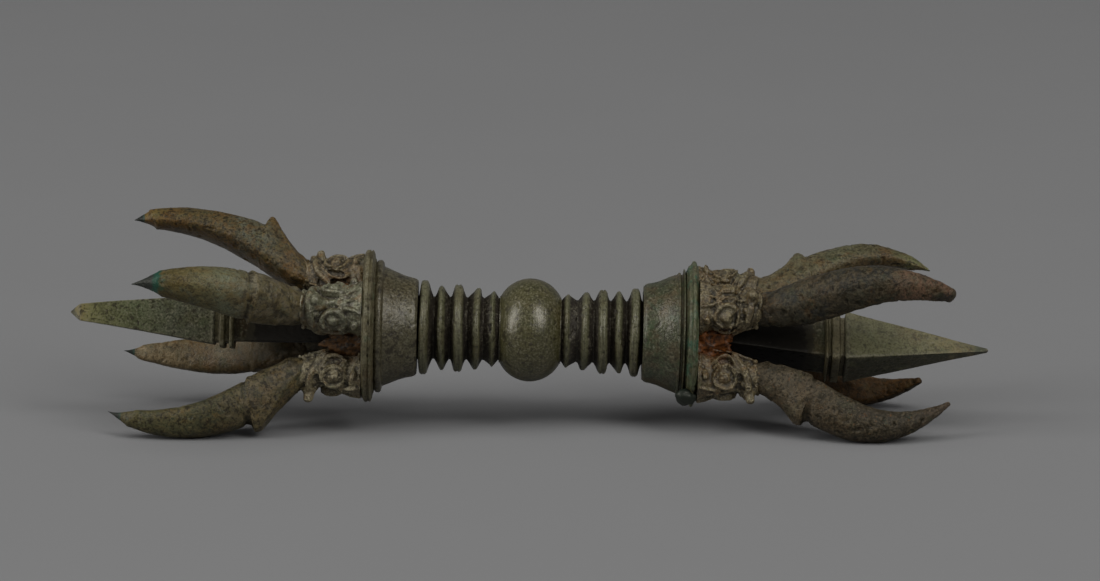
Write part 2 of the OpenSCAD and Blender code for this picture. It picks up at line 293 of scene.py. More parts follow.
plainLook = {  # a finish, where its piece doesn't say otherwise
    "second": (40, 36, 14), "secondShare": 0.6, "wander": 0.16,
    "bellyShare": 0.8, "streakShare": 0.7, "drawn": (0.14, 1, 1), "blotches": (),
    "rust": (85, 41, 8.7), "rustShare": 0.3, "green": (50, 82, 36), "greenShare": 0.3,
    # the soil tone darkens the hollows: soil, with painted shade
    "soil": (12, 8.7, 3.1), "soilShare": 0.9, "soilFrom": 0.05, "soilTo": 0.75,
    # the dust tone lightens the ridges: dust, with a painted highlight; it also colours the pale flecks
    "dust": (150, 136, 90), "dustShare": 0.6, "fleckShare": 0.4,
    "gloss": (0.36, 0.6), "hollowDull": 0.25, "shine": 0.4, "tint": (1, 0.95, 0.84, 1),
    "bump": 0.5, "grain": 0.2, "fineHeight": 0.7, "gritHeight": 0.5,
}


# one old bronze finish: a base, a second tone in clouds, rust, green, soil with painted shade in hollows, dust with a
# painted highlight on ridges, and flecks
def patina(name, **own):
    look = plainLook | own
    material = bpy.data.materials.new(name)
    material.use_nodes = True
    tree = material.node_tree
    shader = tree.nodes["Principled BSDF"].inputs
    place = addNode(tree, "ShaderNodeTexCoord").outputs["Object"]
    seed = look["seed"] * 0.01

    def cloudOf(kind, drawn=(1, 1, 1)):
        grain, detail, rough, offset = clouds[kind]
        return cloud(tree, place, grain, detail, rough, seed + offset, drawn)

    def shown(value, kind, top=1.0):
        return spread(tree, value, *edges[kind], top)

    def lay(share, tone):
        nonlocal colour
        colour = layered(tree, share, colour, tone)

    def scatter(kind, cover, grains):  # a layer that shows where its cover meets a finer cloud
        patch = times(tree, shown(cover, kind), shown(grains, kind + "Grain"))
        lay(times(tree, patch, look[kind + "Share"]), look[kind])

    broad, middle, fine, grit = (cloudOf(kind) for kind in ("broad", "middle", "fine", "grit"))
    hollow, ridge = attribute(tree, "hollow"), attribute(tree, "ridge")
    stray = combine(tree, "SUBTRACT", middle, 0.5)
    if "along" in look:  # colours from root to tip
        ramp = addNode(tree, "ShaderNodeValToRGB")
        stops = ramp.color_ramp.elements
        while len(stops) < len(look["along"]):
            stops.new(0.5)
        for stop, (at, tone) in zip(stops, look["along"]):
            stop.position, stop.color = at, toned(tone)
        wander = times(tree, stray, look["wander"])
        tree.links.new(plus(tree, attribute(tree, "along"), wander), ramp.inputs[0])
        colour = ramp.outputs[0]
    else:
        colour = look["base"]
    if "belly" in look:  # the side turned to the axis on a prong; on a spike the side turned down, in painted shade
        scatter("belly", attribute(tree, "belly"), middle)
    lay(shown(middle, "second", look["secondShare"]), look["second"])
    if "streak" in look:  # long fibres drawn out along the piece, or across it
        lay(shown(cloudOf("fibre", look["drawn"]), "streak", look["streakShare"]), look["streak"])
    for i, (tone, grain, low, high, share, *reach) in enumerate(look["blotches"]):
        offset = seed + blotchForm["offset"] + i
        patch = cloud(tree, place, grain, blotchForm["detail"], blotchForm["rough"], offset)
        patch = spread(tree, patch, low, high, share)
        if reach:  # full before the first share of the length, gone after the second
            patch = times(tree, patch, spread(tree, attribute(tree, "along"), reach[1], reach[0]))
        lay(patch, tone)
    scatter("rust", broad, fine)
    scatter("green", cloudOf("green"), fine)
    # hollows darkened: soil and painted shade
    lay(times(tree, spread(tree, hollow, look["soilFrom"], look["soilTo"]), look["soilShare"]), look["soil"])
    # ridges lightened: dust and a painted highlight
    scatter("dust", ridge, fine)
    flecks = look["fleckShare"]
    specks = look.get("speckShare", flecks + 0.15)  # a few more dark ones than pale ones
    lay(shown(grit, "fleck", flecks), look["dust"])
    lay(shown(grit, "speck", specks), look["soil"])
    lay(shown(cloudOf("crumb"), "crumb", specks), look["soil"])
    if "throat" in look:  # rust-coloured soil between the heads, close to the axis
        apart = addNode(tree, "ShaderNodeSeparateXYZ")
        tree.links.new(place, apart.inputs[0])
        x, y, z = apart.outputs
        far = combine(tree, "ABSOLUTE", x)
        across = combine(tree, "SQRT", plus(tree, combine(tree, "POWER", y, 2), combine(tree, "POWER", z, 2)))
        across = plus(tree, across, times(tree, stray, throatForm["stray"] * mm))
        inside = look["throat"]
        for way, key in ((across, "across"), (far, "out"), (far, "in")):
            inside = times(tree, spread(tree, way, *(edge * mm for edge in throatForm[key])), inside)
        inside = combine(tree, "MAXIMUM", inside, attribute(tree, "deposit"))
        lay(inside, layered(tree, shown(fine, "throat"), *throatForm[look["end"]]))
    if "point" in look:  # dark green-black points and lumps, and painted shadow on a spike's neck
        rough = plus(tree, times(tree, middle, pointForm["middle"]), times(tree, fine, pointForm["fine"]))
        mark = plus(tree, attribute(tree, "point"), combine(tree, "SUBTRACT", rough, pointForm["level"]))
        for kind in ("pointEdge", "point"):
            lay(shown(mark, kind), look[kind])
    glossy, matt = look["gloss"]
    dull = plus(tree, times(tree, fine, matt - glossy), glossy)
    dull = plus(tree, dull, times(tree, hollow, look["hollowDull"]))
    bump = addNode(tree, "ShaderNodeBump")
    height = plus(tree, times(tree, fine, look["fineHeight"]), times(tree, grit, look["gritHeight"]))
    shader["Specular Tint"].default_value = look["tint"]
    for socket, value in (
            (shader["Base Color"], colour), (shader["Roughness"], dull),
            (shader["Specular IOR Level"], look["shine"]),
            (bump.inputs["Strength"], look["bump"]), (bump.inputs["Distance"], look["grain"] * mm),
            (bump.inputs["Height"], height), (shader["Normal"], bump.outputs[0])):
        feed(tree, socket, value)
    return material


print("finishes ready")

# grip ball
bore = 4.7 / 2  # of every piece on the rod
ballForm = {"d": 20.4, "neckD": 13, "steps": 150, "step": 0.3, "round": 0.35, "facets": 14, "facetRound": 0.05,
            "wear": [(7, 0.16), (1.6, 0.05), (0.9, 0.1, 0.42)]}
ballLook = {"seed": 1, "base": (55, 50, 18), "second": (37, 37, 11), "rustShare": 0.15,
            "greenShare": 0.2, "fleckShare": 0.6, "speckShare": 0.75, "dustShare": 0.2, "gloss": (0.24, 0.4),
            "shine": 0.75, "bump": 0.3}
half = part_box("grip_ball")[1].x / mm
rise = (ballForm["d"] - ballForm["neckD"]) / 2
arc = (half ** 2 + rise ** 2) / (2 * rise)
sweep = math.asin(half / arc)
crown = [(arc * math.sin(a), ballForm["d"] / 2 - arc + arc * math.cos(a), ballForm["facetRound"])
         for a in (sweep * (j / ballForm["facets"] - 1) for j in range(2 * ballForm["facets"] + 1))]
corners = [(-half, bore)] + crown + [(half, bore)]
bm = turned(corners, ballForm)
weather(bm, ballForm["wear"], ballLook["seed"], (-half, half))
finishPiece("ballGrip", bm, "grip_ball", patina("ball bronze", **ballLook))

# grip rings, each cut a little differently
ringForm = {
    "rootD": 12.2, "steps": 150, "step": 0.22, "round": 0.2, "seed": {"left": 10, "right": 15},
    "rim": {"left": (0.9, 1.1, 1.7, 1.15, 1.7), "right": (1.1, 1.3, 1.6, 1.1, 1.6)},
    "lean": {"left": (0.36, 0.4, -0.08, -0.1, -0.32), "right": (0.36, 0.12, -0.18, -0.2, -0.1)},
    "groove": {"left": (0, 0.12, 0.22, 0, 0.1), "right": (0, 0.1, 0.25, 0.05, 0.12)},
    "waist": 0.36, "edge": 0.35, "flat": 0.2,  # turn of the flank, side of the rim and half of its top
    "sway": ((1, 0.16, 1.7), (3, 0.08, 1)),  # waves round the rim, their reach and their shift from ring to ring
    "soil": (1.45, 1.6),  # soil and painted shade on each flank: full at the root, and how fast they end
    "wear": [(4, 0.14), (1.1, 0.12), (0.9, 0.26, 0.36)],
}
# the ring's soil tone fills the hollows and grooves as soil and painted shade
ringBronze = patina("ring bronze", seed=2, base=(88, 85, 44), second=(60, 61, 30),
                    soil=(7, 4, 1.5), rustShare=0.2, greenShare=0.25, fleckShare=0.35, dustShare=0.35,
                    speckShare=0.6, soilShare=1.0, soilFrom=0, soilTo=0.9, gloss=(0.22, 0.48), shine=0.6, bump=0.8)
for end in ends:
    for i in range(5):
        node = f"ring_{end}_{i + 1}"
        low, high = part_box(node)
        start, stop = low.x / mm, high.x / mm
        top, root = high.z / mm, ringForm["rootD"] / 2
        rim, lean, cut = (ringForm[key][end][i] for key in ("rim", "lean", "groove"))
        mid = (start + stop) / 2 + lean * (1 if end == "left" else -1)
        near, far = mid - rim / 2, mid + rim / 2
        waist, edge, flat = blend(root, top, ringForm["waist"]), top - ringForm["edge"], rim * ringForm["flat"]
        corners = [(start, bore, 0.1), (start, root, 0.05), (blend(near, start, 0.5), waist, 0.5), (near, edge, 0.4),
                   (mid - flat, top, 0.2), (mid, top - cut, 0.15), (mid + flat, top, 0.2), (far, edge, 0.4),
                   (blend(far, stop, 0.5), waist, 0.5), (stop, root, 0.05), (stop, bore, 0.1)]
        bm = turned(corners, ringForm)
        for v in bm.verts:  # hand-cut rims run a little out of true
            turn = math.atan2(v.co.y, v.co.z)
            share = ease((math.hypot(v.co.y, v.co.z) / mm - root) / (top - root))
            v.co.x += sum(reach * mm * share * math.sin(waves * turn + i * shift)
                          for waves, reach, shift in ringForm["sway"])
        weather(bm, ringForm["wear"], ringForm["seed"][end] + i, (start, stop))
        # each flank darkens towards its root: soil and painted shade in the grooves between rims
        full, fall = ringForm["soil"]
        deep = [ease(full - (math.hypot(v.co.y, v.co.z) / mm - root) / (top - root) * fall) for v in bm.verts]
        finishPiece(f"ring_{end}_{i + 1}_cut", bm, node, ringBronze, {"hollow": deep})
print("ball and rings turned")

# bell collars
collarForm = {
    "shoulderD": 19.4, "flareD": 24, "beadD": 1.7, "steps": 200, "step": 0.28, "round": 0.2,
    "seed": {"left": 21, "right": 22},
    "shoulderRound": {"left": 0.9, "right": 0.4},
    "wear": [(6, 0.14), (1.3, 0.06), (0.8, 0.14, 0.4)],
}
collarPlain = {"gloss": (0.2, 0.46), "shine": 0.65, "bump": 0.8}
collarLooks = {
    "left": {"seed": 3, "base": (59, 51, 25), "second": (40, 34, 16), "rustShare": 0.15,
             "greenShare": 0.12, "fleckShare": 0.5, "speckShare": 0.9,
             "blotches": [((34, 28, 13), 4.5, 0.52, 0.64, 0.6), ((90, 72, 44), 3, 0.56, 0.66, 0.4)]},
    "right": {"seed": 4, "base": (33, 39, 17), "second": (26, 29, 12),
              "green": (39, 74, 32), "greenShare": 0.55, "speckShare": 0.7,
              "blotches": [((62, 44, 20), 5, 0.5, 0.62, 0.7), ((24, 50, 26), 4, 0.54, 0.64, 0.6)]},
}
for end in ends:
    node = f"collar_{end}"
    low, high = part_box(node)
    length = (high.x - low.x) / mm
    near = max(abs(high.x), abs(low.x)) / mm - length
    top = high.z / mm
    shoulder, flare = collarForm["shoulderD"] / 2, collarForm["flareD"] / 2
    bead = length - collarForm["beadD"]
    corners = [(0, bore, 0.1), (0, shoulder - 0.45, 0.2), (0.5, shoulder, collarForm["shoulderRound"][end]),
               (2.6, blend(shoulder, flare, 0.17), 1.2), (bead - 0.9, blend(shoulder, flare, 0.74), 1.0)]
    if end == "left":  # a full bead on the left, a low one with a thin bright edge on the right
        corners += [(bead, flare - 0.25, 0.1), (bead + 0.15, top - 0.45, 0.15), (bead + 0.5, top, 0.4),
                    (length - 0.45, top, 0.4), (length, top - 0.5, 0.1)]
    else:
        corners += [(bead, flare - 0.3, 0.1), (bead + 0.1, flare, 0.12), (length - 1.15, flare + 0.1, 0.1),
                    (length - 1.0, flare - 0.35, 0.1), (length - 0.75, flare - 0.35, 0.1),
                    (length - 0.6, top - 0.3, 0.1), (length - 0.25, top - 0.25, 0.15), (length, flare - 0.1, 0.1)]
    corners.append((length, bore, 0.1))
    bm = turned(corners, collarForm, near)
    weather(bm, collarForm["wear"], collarForm["seed"][end], (near, near + length))
    setAt(bm, end)
    finish = patina(f"collar bronze {end}", **(collarPlain | collarLooks[end]))
    finishPiece(f"collar_{end}_turned", bm, node, finish)

# prong plates; the right one has a sharper rim and a lump of green corrosion
plateForm = {
    "thick": 2.3, "steps": 200, "step": 0.3, "round": 0.2, "seed": {"left": 31, "right": 32},
    "lump": {"end": "right", "size": 2.0, "shape": (1.05, 0.95, 0.8), "turn": 137, "sunk": 0.3,
             "grain": 1.3, "rough": 0.22},
    "soil": {"r": 6.2, "size": (6.4, 3.8, 2.6), "out": 0.2, "sunk": 0.4,
             "rough": ((2.6, 0.45), (1.0, 0.3), (0.5, 0.16))},  # grain and share of the size
    "wear": [(3.5, 0.22), (1.1, 0.1), (0.8, 0.25, 0.35)],
}
plateLooks = {
    "left": {"seed": 5, "base": (94, 82, 42), "second": (60, 48, 22), "bump": 0.9, "rustShare": 0.4,
             "greenShare": 0.25, "dustShare": 0.7, "soilShare": 0.75,
             "blotches": [((36, 26, 11), 1.6, 0.52, 0.62, 0.75), ((50, 74, 44), 3, 0.58, 0.66, 0.6)]},
    "right": {"seed": 6, "base": (64, 76, 37), "second": (48, 50, 22), "rustShare": 0.35,
              "green": (43, 112, 60), "greenShare": 0.7, "dustShare": 0.5, "soilShare": 0.7,
              "blotches": [((20, 82, 50), 3, 0.52, 0.62, 0.8), ((40, 44, 22), 1.6, 0.54, 0.64, 0.7)],
              "point": (8, 12, 8), "pointEdge": (14, 24, 15)},
}
for end in ends:
    node = f"plate_{end}"
    low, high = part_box(node)
    top = high.z / mm
    out = max(abs(high.x), abs(low.x)) / mm
    near = out - plateForm["thick"]
    if end == "left":
        rim = [(near, top - 2.1, 0.1), (near + 0.2, top - 0.8, 0.3), (near + 0.5, top - 0.1, 0.25),
               (near + 0.85, top, 0.15), (near + 0.98, top - 0.28, 0.06), (near + 1.12, top - 0.02, 0.1),
               (out - 0.35, top - 0.05, 0.35), (out, top - 0.8, 0.3)]
    else:
        rim = [(near, top - 2.2, 0.1), (near + 0.3, top - 1.1, 0.3), (near + 0.8, top - 0.85, 0.2),
               (near + 1.2, top, 0.5), (out - 0.4, top - 0.2, 0.5), (out, top - 1.1, 0.4)]
    corners = [(near, bore, 0.1)] + rim + [(out, bore, 0.1)]
    bm = turned(corners, plateForm)
    green, rusty = bm.verts.layers.float.new("point"), bm.verts.layers.float.new("deposit")
    weather(bm, plateForm["wear"], plateForm["seed"][end], (near, out))
    lump, soil = plateForm["lump"], plateForm["soil"]
    if end == lump["end"]:
        turn = Matrix.Rotation(math.radians(lump["turn"]), 4, "X")
        spot = turn @ Matrix.Translation(Vector((near + lump["sunk"], 0, top - lump["sunk"])) * mm)
        size = Matrix.Diagonal((*(lump["size"] * share * mm for share in lump["shape"]), 1))
        for v in bmesh.ops.create_icosphere(bm, subdivisions=4, radius=1, matrix=spot @ size)["verts"]:
            v.co += (v.co - spot.translation) * lump["rough"] * noise.noise(v.co / (lump["grain"] * mm))
            v[green] = 1
    for j in range(4):
        turn = Matrix.Rotation(math.radians(endTurn[end] + 90 * j), 4, "X")
        spot = turn @ Matrix.Translation(Vector((out + soil["out"], 0, soil["r"])) * mm)
        size = Matrix.Diagonal((*(Vector(soil["size"]) * mm), 1))
        for v in bmesh.ops.create_icosphere(bm, subdivisions=5, radius=1, matrix=spot @ size)["verts"]:
            rough = sum(share * noise.noise(v.co / (grain * mm)) for grain, share in soil["rough"])
            v.co += (v.co - spot.translation) * rough
            v.co.x = max(v.co.x, (out - soil["sunk"]) * mm)
            v[rusty] = 1
    setAt(bm, end)
    finish = patina(f"plate bronze {end}", end=end, throat=0.9, **plateLooks[end])
    finishPiece(f"plate_{end}_turned", bm, node, finish)
print("collars and plates turned")

# makara heads: u runs from the plate to the mouth, t across, w away from the axis
headForm = {
    "start": 32.6, "voxel": 0.14, "square": 2.4, "rings": 40, "around": 48, "deep": 0.3,
    "mouth": {"u": 11.7, "w": 10, "r": 3.15, "lip": 0.36, "depth": 10.9, "hole": 2.8},
    "sections": [  # u, half width, throat, crest
        (0.0, 5.5, 5.0, 14.6), (1.3, 4.9, 5.2, 14.2), (3.2, 4.4, 5.6, 13.4), (5.6, 4.2, 5.8, 13.1),
        (7.6, 3.9, 5.9, 12.6), (9.5, 3.65, 6.1, 12.7), (11.0, 3.4, 6.5, 13.0), (12.2, 3.0, 7.0, 12.9)],
    "eye": {"u": 5.5, "t": 3.4, "w": 11.9, "tilt": 40, "ball": 1.35, "ring": 2.2, "thick": 0.52,
            "socket": (2.8, 1.0, 2.7), "sunk": {"socket": 0.55, "ball": 0.25}, "granules": (2.75, -0.2, 0.27)},
    "brows": ((3.0, -0.5, 0.42), (3.75, -0.95, 0.38)),  # radius, lift, thickness
    "folds": {  # points of u, t, w and thickness
        "cheek": ((7.0, 4.3, 7.2, 0.5), (8.3, 4.2, 8.3, 0.64), (9.1, 3.95, 9.9, 0.7), (9.6, 3.35, 11.5, 0.74),
                  (10.0, 1.9, 13.0, 0.85), (10.2, 0.3, 13.6, 0.9)),
        "lid": ((3.0, 4.6, 8.8, 0.4), (4.8, 4.65, 8.0, 0.52), (6.6, 4.45, 8.3, 0.52), (7.8, 4.1, 9.7, 0.45),
                (8.4, 3.5, 11.2, 0.36)),
        "jaw": ((0.5, 4.3, 6.3, 0.55), (4.0, 4.0, 6.2, 0.46), (7.5, 3.6, 6.6, 0.4), (10.6, 3.2, 7.5, 0.4)),
        "leaf": ((0.4, 2.6, 14.0, 0.4), (2.4, 1.8, 13.8, 0.44), (4.9, 0.2, 13.2, 0.46)),
        "mane": ((0.5, 4.7, 7.2, 0.5), (0.6, 4.95, 9.2, 0.55), (0.9, 4.7, 10.6, 0.4))},
    "crest": ((0.6, 0, 14.0, 0.42), (2.6, 0, 13.8, 0.4), (4.6, 0, 13.3, 0.32)),
    "bridge": ((5.4, 0, 13.0, 0.65), (7.4, 0, 12.4, 0.8), (9.0, 0, 12.6, 0.95)),
    "knobs": {  # middle and size
        "ear": ((1.6, 4.5, 11.9), (0.85, 0.8, 1.2)), "nostril": ((9.2, 1.9, 12.4), (0.95, 0.75, 0.7)),
        "pearl": ((11.3, 3.35, 8.0), (0.6, 0.6, 0.6))},
    "snout": {"w": 13.2, "size": (1.6, 1.7, 1.5),  # then a roll of u, w, thickness and growth
              "roll": ((-1.0, 12.4, 1.35, 0), (-0.1, 13.3, 1.3, 0), (0.25, 13.5, 1.05, 1.35))},
    "warp": {"grain": 4.2, "depth": 0.55, "shifts": (0, 31.7, 67.3), "apart": 3.1, "foot": 1.5,
             "firm": 0.45, "firmFrom": 8.5, "firmOver": 2},
    "crease": {"u": 7.2, "wave": 0.3, "width": 0.3, "from": 8.5, "over": 1.5,
               "narrow": 0.12, "sink": 0.5, "sinkFrom": 11},
    "wear": [(3.0, 0.2), (1.0, 0.16), (0.5, 0.13), (1.2, 0.3, 0.35)],
}
headTones = {"left": {"base": (98, 78, 38), "second": (56, 40, 17)},
             "right": {"base": (102, 81, 41), "second": (52, 36, 16)}}
headPlain = {  # a head, where it has nothing of its own
    "smooth": 3, "worn": 0.65, "snout": 1.0, "snoutAt": 10.2, "crease": 0.2, "granules": False, "dark": 0.7,
    # soil in the hollows carries painted shade, and dust on the ridges carries a painted highlight
    "soil": (13, 9, 4), "dust": (240, 200, 112), "rust": (130, 66, 17), "rustShare": 0.65,
    "greenShare": 0.35, "fleckShare": 0.6, "speckShare": 0.6, "dustShare": 0.9, "soilShare": 1.0, "throat": 0.85,
    "gloss": (0.22, 0.48), "shine": 0.7, "bump": 1.0, "grain": 0.34,
}
headLooks = {
    "left_upper_back": {"seed": 41, "snout": 0.85, "snoutAt": 8.7, "worn": 0.9},
    "left_upper_front": {
        "seed": 42, "snout": 0.8, "snoutAt": 8.6, "crease": 0.3, "smooth": 6, "worn": 0.25, "bump": 0.5, "dark": 0.6,
        "base": (106, 104, 62), "second": (52, 52, 28), "dust": (250, 243, 168)},
    # this head lies in shade; its brighter base and dust are painted light lifting it
    "left_lower_front": {
        "seed": 43, "snout": 1.3, "granules": True, "dark": 0.6, "base": (175, 146, 78),
        "dust": (340, 300, 190)},
    "left_lower_back": {"seed": 44},
    "right_upper_back": {"seed": 45, "crease": 0.3},
    "right_upper_front": {"seed": 46, "crease": 0.8},
    "right_lower_front": {"seed": 47, "snout": 1.1},
    "right_lower_back": {"seed": 48},
}


# a form is made by itself and then laid into the head
def layIn(whole, form):
    mesh = meshOf("form", form)
    whole.from_mesh(mesh)
    bpy.data.meshes.remove(mesh)


def knob(whole, at, size, lean=0.0):
    form = bmesh.new()
    shape = Matrix.Rotation(lean, 4, "X") @ Matrix.Diagonal((*(Vector(size) * mm), 1))
    bmesh.ops.create_uvsphere(form, u_segments=20, v_segments=12, radius=1,
                              matrix=Matrix.Translation(Vector(at) * mm) @ shape)
    layIn(whole, form)


# a soft roll of metal drawn through points of (u, t, w, thickness)
def roll(whole, path):
    points = [Vector(p) for p in path]
    points = [points[0]] + points + [points[-1]]
    track = []
    for i in range(1, len(points) - 2):
        a, b, c, d = points[i - 1:i + 3]
        parts = max(2, math.ceil((c - b).length / 0.3))
        for j in range(parts):
            x = j / parts
            track.append(0.5 * (2 * b + (c - a) * x + (2 * a - 5 * b + 4 * c - d) * x * x
                                + (3 * b - a - 3 * c + d) * x ** 3))
    track.append(points[-1])
    frames = []
    side = (track[1] - track[0]).xyz.orthogonal().normalized()
    for i, p in enumerate(track):
        ahead = (track[min(i + 1, len(track) - 1)] - track[max(i - 1, 0)]).xyz.normalized()
        side = (side - ahead * side.dot(ahead)).normalized()
        frames.append((p.xyz, p[3], ahead, side, ahead.cross(side)))
    last = len(frames) - 1
    cap = 3  # rings that round off each end

    def place(x, turn):
        inner = min(max(x * (last + 2 * cap) - cap, 0), last)
        over = x * (last + 2 * cap) - cap - inner
        at, thick, ahead, side, rise = frames[round(inner)]
        size = thick * math.sqrt(max(1 - (over / cap) ** 2, 0.0025))
        return at + ahead * thick * over / cap + (side * math.cos(turn) + rise * math.sin(turn)) * size

    form = bmesh.new()
    rolledTube(form, last + 2 * cap, 14, place)
    layIn(whole, form)


def headForms(look):
    bm = bmesh.new()
    sections = headForm["sections"]

    def bodyPlace(x, turn):
        u = x * sections[-1][0]
        i = max(j for j in range(len(sections) - 1) if sections[j][0] <= u + 1e-6 or j == 0)
        share = ease((u - sections[i][0]) / (sections[i + 1][0] - sections[i][0]))
        wide, throat, crest = (blend(p, q, share) for p, q in zip(sections[i][1:], sections[i + 1][1:]))
        co, si, grow = squared(turn, headForm["square"])
        return u, wide * si * grow, (throat + crest) / 2 + (crest - throat) / 2 * co * grow

    trunk = bmesh.new()
    rolledTube(trunk, headForm["rings"], headForm["around"], bodyPlace)
    layIn(bm, trunk)
    eye, snout, mouth = headForm["eye"], headForm["snout"], headForm["mouth"]
    tilt = math.radians(eye["tilt"])
    for side in (-1, 1):
        out = Vector((0, side * math.cos(tilt), math.sin(tilt)))
        up = Vector((0, -side * math.sin(tilt), math.cos(tilt)))
        ahead = Vector((1, 0, 0))
        centre = Vector((eye["u"], side * eye["t"], eye["w"]))

        def hoop(radius, lift, thick, start, stop, parts):
            ring = []
            for j in range(parts + 1):
                a = math.radians(blend(start, stop, j / parts))
                p = centre + out * lift + (ahead * math.cos(a) + up * math.sin(a)) * radius
                ring.append((*p, thick))
            return ring

        knob(bm, centre - out * eye["sunk"]["socket"], eye["socket"], side * tilt)
        knob(bm, centre - out * eye["sunk"]["ball"], (eye["ball"],) * 3)
        roll(bm, hoop(eye["ring"], 0.05, eye["thick"], -65, 245, 16))
        for radius, lift, thick in headForm["brows"]:
            roll(bm, hoop(radius, lift, thick, 115, 240, 10))
        if look["granules"]:
            for x, y, z, thick in hoop(*eye["granules"], 60, 235, 10):
                knob(bm, (x, y, z), (thick,) * 3)
        for path in headForm["folds"].values():
            roll(bm, [(u, side * t, w, thick) for u, t, w, thick in path])
        for (u, t, w), size in headForm["knobs"].values():
            knob(bm, (u, side * t, w), size)
    roll(bm, headForm["crest"])
    roll(bm, headForm["bridge"])
    at = look["snoutAt"]
    knob(bm, (at, 0, snout["w"]), snout["size"])
    roll(bm, [(at + u, 0, w + grow * look["snout"], thick) for u, w, thick, grow in snout["roll"]])
    lip = []
    for j in range(33):  # a wavy lip, once round
        a = j * math.pi / 16
        curl = 0.4 * math.cos(2 * a) + 0.2 * math.sin(3 * a + look["seed"]) - 0.1
        lip.append((mouth["u"] + curl, mouth["r"] * math.sin(a), mouth["w"] + mouth["r"] * math.cos(a), mouth["lip"]))
    roll(bm, lip)
    return bm


def fused(bm, voxel):
    forms = linked("forms", meshOf("forms", bm))
    skin = forms.modifiers.new("skin", "REMESH")
    skin.mode, skin.voxel_size = "VOXEL", voxel * mm
    view = bpy.context.evaluated_depsgraph_get()
    whole = bpy.data.meshes.new_from_object(forms.evaluated_get(view))
    bpy.data.objects.remove(forms)
    bm = bmesh.new()
    bm.from_mesh(whole)
    return bm


for end in ends:
    for seat in seats:
        look = headPlain | headTones[end] | headLooks[f"{end}_{seat}"]
        look["blotches"] = [((44, 27, 10), 1.3, 0.5, 0.6, look["dark"]),
                            ((150, 74, 20), 2.4, 0.55, 0.66, 0.5)]
        finish = patina(f"head bronze {end} {seat}", end=end, **look)
        bm = fused(headForms(look), headForm["voxel"])
        for _ in range(look["smooth"]):
            bmesh.ops.smooth_vert(bm, verts=bm.verts, factor=0.5, use_axis_x=True, use_axis_y=True, use_axis_z=True)
        mouth, warp, crease = headForm["mouth"], headForm["warp"], headForm["crease"]
        for v in bm.verts:
            u, t, w = v.co / mm
            spot = v.co / mm / warp["grain"] + Vector((look["seed"] * warp["apart"], 0, 0))
            drift = Vector([noise.noise(spot + Vector((0, 0, shift))) for shift in warp["shifts"]])
            free = 1 - warp["firm"] * ease((u - warp["firmFrom"]) / warp["firmOver"])  # less at the mouth
            v.co += drift * warp["depth"] * ease(u / warp["foot"]) * free * mm
            if math.hypot(t, w - mouth["w"]) < mouth["hole"] and u > mouth["depth"]:
                v.co.x = mouth["depth"] * mm
            pinch = look["crease"] * swell(u - crease["u"] - crease["wave"] * math.sin(w), crease["width"])
            pinch *= ease((w - crease["from"]) / crease["over"])
            v.co.y *= 1 - crease["narrow"] * pinch
            v.co.z -= pinch * crease["sink"] * mm * ease((w - crease["sinkFrom"]) / crease["over"])
        wear = [(grain, depth * look["worn"], *pits) for grain, depth, *pits in headForm["wear"]]
        weather(bm, wear, look["seed"])
        for v in bm.verts:
            v.co.x = max(v.co.x, 0.02 * mm)  # clear of the plate
        shift = Matrix.Translation((headForm["start"] * mm, 0, 0))
        bmesh.ops.transform(bm, matrix=endPlace(end, seatTurn(end, seat)) @ shift, verts=bm.verts)
        finishPiece(f"head_{end}_{seat}_carved", bm, f"head_{end}_{seat}", finish,
                    deep=headForm["deep"])
print("makara heads carved")

# outer prongs: a horn on one smooth curve, in a leaf calyx with a knob at its tip
prongForm = {
    "root": (43.3, 10), "rootThick": 6, "rootWide": 6.4, "wide": 9.8, "lean": 0.09, "lobe": 0.065, "rootSwell": 0.6,
    "calyx": {"left": 0.48, "right": 0.375}, "crownWidth": 0.15, "rings": 230, "around": 88,
    "grain": {"left": 0.24, "right": 0.32},  # of the finish
    "roundFrom": 0.985, "cap": 0.45, "bluntFrom": 0.94, "bluntOver": 0.06,
    "backPower": 1.25, "frontPower": 0.75, "sidePower": 0.9, "least": 0.05,
    "back": 1.3, "front": 0.7, "shift": 0.3,  # the horn is fuller on its back than the curve it follows
    "seam": {"lip": 0.012, "fade": 0.024, "groove": 0.016, "grooveWide": 0.01},
    "leafForm": {"turn": 72, "wide": 0.6, "grain": (1.6, 2.4), "curl": 0.8, "rise": 4, "fade": 0.5},
    "wrinkle": {"depth": 0.5, "fade": 0.75, "rise": 5, "apart": 9}, "pointLean": 0.012, "pointEdge": 0.008,
    "pointStep": (0.26, 0.05, 0.08, 0.1), "pointBlend": (0.04, 0.16, 0.04, 0.04),  # on the left
    "wear": {"left": [(6, 0.2), (2.2, 0.14), (0.7, 0.07), (1.3, 0.18, 0.34)],
             "right": [(5, 0.26), (1.6, 0.22), (0.7, 0.12), (1.3, 0.28, 0.34)]},
}
